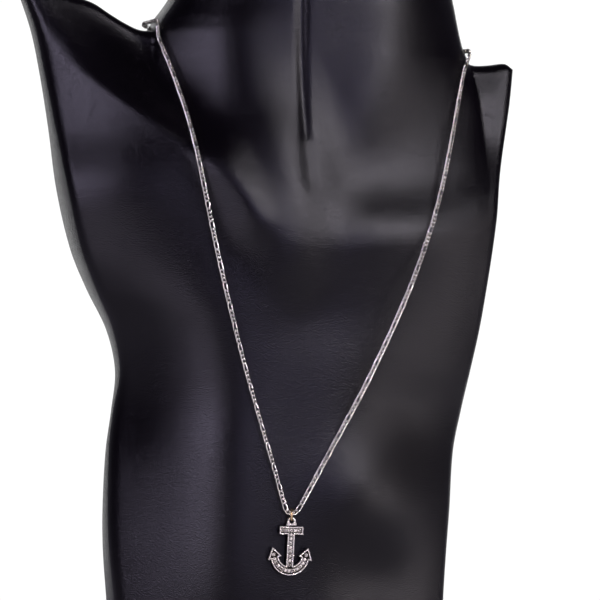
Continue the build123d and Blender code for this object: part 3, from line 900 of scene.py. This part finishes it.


# The stones
# Twenty-six small round brilliants of clear paste, each with a table and a faceted crown. They are
# pushed into cone seats and held by the grains of metal. Each facet is coloured dark or bright at
# random: painted reflections in place of the light the stones throw back.

paste, shader, place = new_finish("clear paste")
# Painted reflections: a noise keyed to each facet's direction colours it dark or bright.
facet = add_node(tree=place.tree, kind="ShaderNodeNewGeometry", out="True Normal")
turned = facet.node("ShaderNodeVectorMath", {"operation": "SCALE"}, {0: facet, "Scale": 2.3})
moved = place.node("ShaderNodeVectorMath", {"operation": "SCALE"}, {0: place, "Scale": 900.0})
spot = vector("ADD", turned, moved)
painted_sparkle_noise = place.node("ShaderNodeTexNoise", inputs={"Vector": spot, "Scale": 1.0, "Detail": 1.0})
bright = rising(painted_sparkle_noise, 0.40, 0.54)
feed(
    shader,
    Base_Color=tinted(bright, (0.07, 0.06, 0.05, 1), (1.0, 0.95, 0.84, 1)),
    Metallic=0.9,
    Roughness=0.15 + 0.30 * painted_sparkle_noise,
)
for name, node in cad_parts.items():
    if "_stone_" in name:
        put_on(paste, node)


# The room
# A pale round table in a dim room, with a lit white wall behind the bust. Five soft lamps stand round
# its front, and two small ones are close to it, low on the left and on the right.

table_radius = 0.62
table_sides = 96
turns = [2 * math.pi * side / table_sides for side in range(table_sides)]
table_edge = [(table_radius * math.cos(turn), table_radius * math.sin(turn), 0) for turn in turns]
table_mesh = bpy.data.meshes.new("table_top")
table_mesh.from_pydata(table_edge, [], [list(range(table_sides))])
table_top = bpy.data.objects.new("table_top", table_mesh)
bpy.context.scene.collection.objects.link(table_top)
pale, shader, place = new_finish("pale table")
feed(shader, Base_Color=(0.8, 0.8, 0.8, 1), Roughness=0.6)
table_top.data.materials.append(pale)

view_turn = math.radians(-12)
world = bpy.data.worlds.new("room")
bpy.context.scene.world = world
world.use_nodes = True
tree = world.node_tree
tree.nodes.clear()
direction = add_node(tree, "ShaderNodeTexCoord", out="Generated")
away = (-math.sin(view_turn), math.cos(view_turn), 0)
ahead = reach_along(direction, away)
# From behind the camera to straight ahead of it: the room, its darker sides and the lit wall.
wall_stops = [
    (0.0, (0.05, 0.045, 0.055, 1)),
    (0.60, (0.022, 0.019, 0.025, 1)),
    (0.94, (0.10, 0.095, 0.12, 1)),
    (0.985, (1, 1, 1, 1)),
]
glow = ahead.node("ShaderNodeValToRGB", {"stops": wall_stops}, {"Fac": 0.5 + 0.5 * ahead})
back_light = direction.node("ShaderNodeBackground", inputs={"Color": glow, "Strength": 1.05})
room = tree.nodes.new("ShaderNodeOutputWorld")
tree.links.new(back_light.output, room.inputs["Surface"])

view_across = 12.27
view_height = 116.4
view_middle = Vector((view_across, seam_y, view_height)) * mm
view_distance = 2.5
view_width = 181.8 * mm


def soft_lamp(name, azimuth, elevation, distance, size, power, colour):
    """A rectangular lamp that looks at the bust from a direction given as seen from the camera."""
    a = view_turn + math.radians(azimuth)
    e = math.radians(elevation)
    out = Vector((math.sin(a) * math.cos(e), -math.cos(a) * math.cos(e), math.sin(e)))
    lamp = bpy.data.lights.new(name, "AREA")
    lamp.shape = "RECTANGLE"
    lamp.size, lamp.size_y = size
    lamp.energy = power
    lamp.color = colour
    holder = bpy.data.objects.new(name, lamp)
    holder.location = view_middle + out * distance
    holder.rotation_euler = (-out).to_track_quat("-Z", "Y").to_euler()
    bpy.context.scene.collection.objects.link(holder)


soft_lamp("left lamp", -46, 11, 0.80, (0.18, 0.22), 2.80, (0.80, 0.72, 1.0))
soft_lamp("low left lamp", -36, -16, 0.30, (0.07, 0.04), 0.052, (0.92, 0.84, 1.0))
soft_lamp("front lamp", 17, 9, 0.80, (0.26, 0.20), 1.00, (0.68, 0.62, 1.0))
soft_lamp("top right lamp", 38, 25, 0.80, (0.14, 0.14), 1.45, (0.96, 0.90, 1.0))
soft_lamp("front right lamp", 50, 22, 0.80, (0.14, 0.14), 2.10, (0.96, 0.90, 1.0))
soft_lamp("middle right lamp", 70, 0, 0.80, (0.16, 0.14), 0.84, (1.0, 0.91, 0.98))
soft_lamp("low right lamp", 84, -16, 0.30, (0.14, 0.06), 0.056, (1.0, 0.91, 0.96))

camera = bpy.data.cameras.new("camera")
camera.sensor_width = 36
camera.lens = camera.sensor_width * view_distance / view_width
camera.clip_start = 0.1
camera.clip_end = 20
viewer = bpy.data.objects.new("camera", camera)
toward = Vector((math.sin(view_turn), -math.cos(view_turn), 0))
viewer.location = view_middle + toward * view_distance
viewer.rotation_euler = (-toward).to_track_quat("-Z", "Y").to_euler()
bpy.context.scene.collection.objects.link(viewer)
bpy.context.scene.camera = viewer
bpy.context.scene.view_settings.view_transform = "Standard"
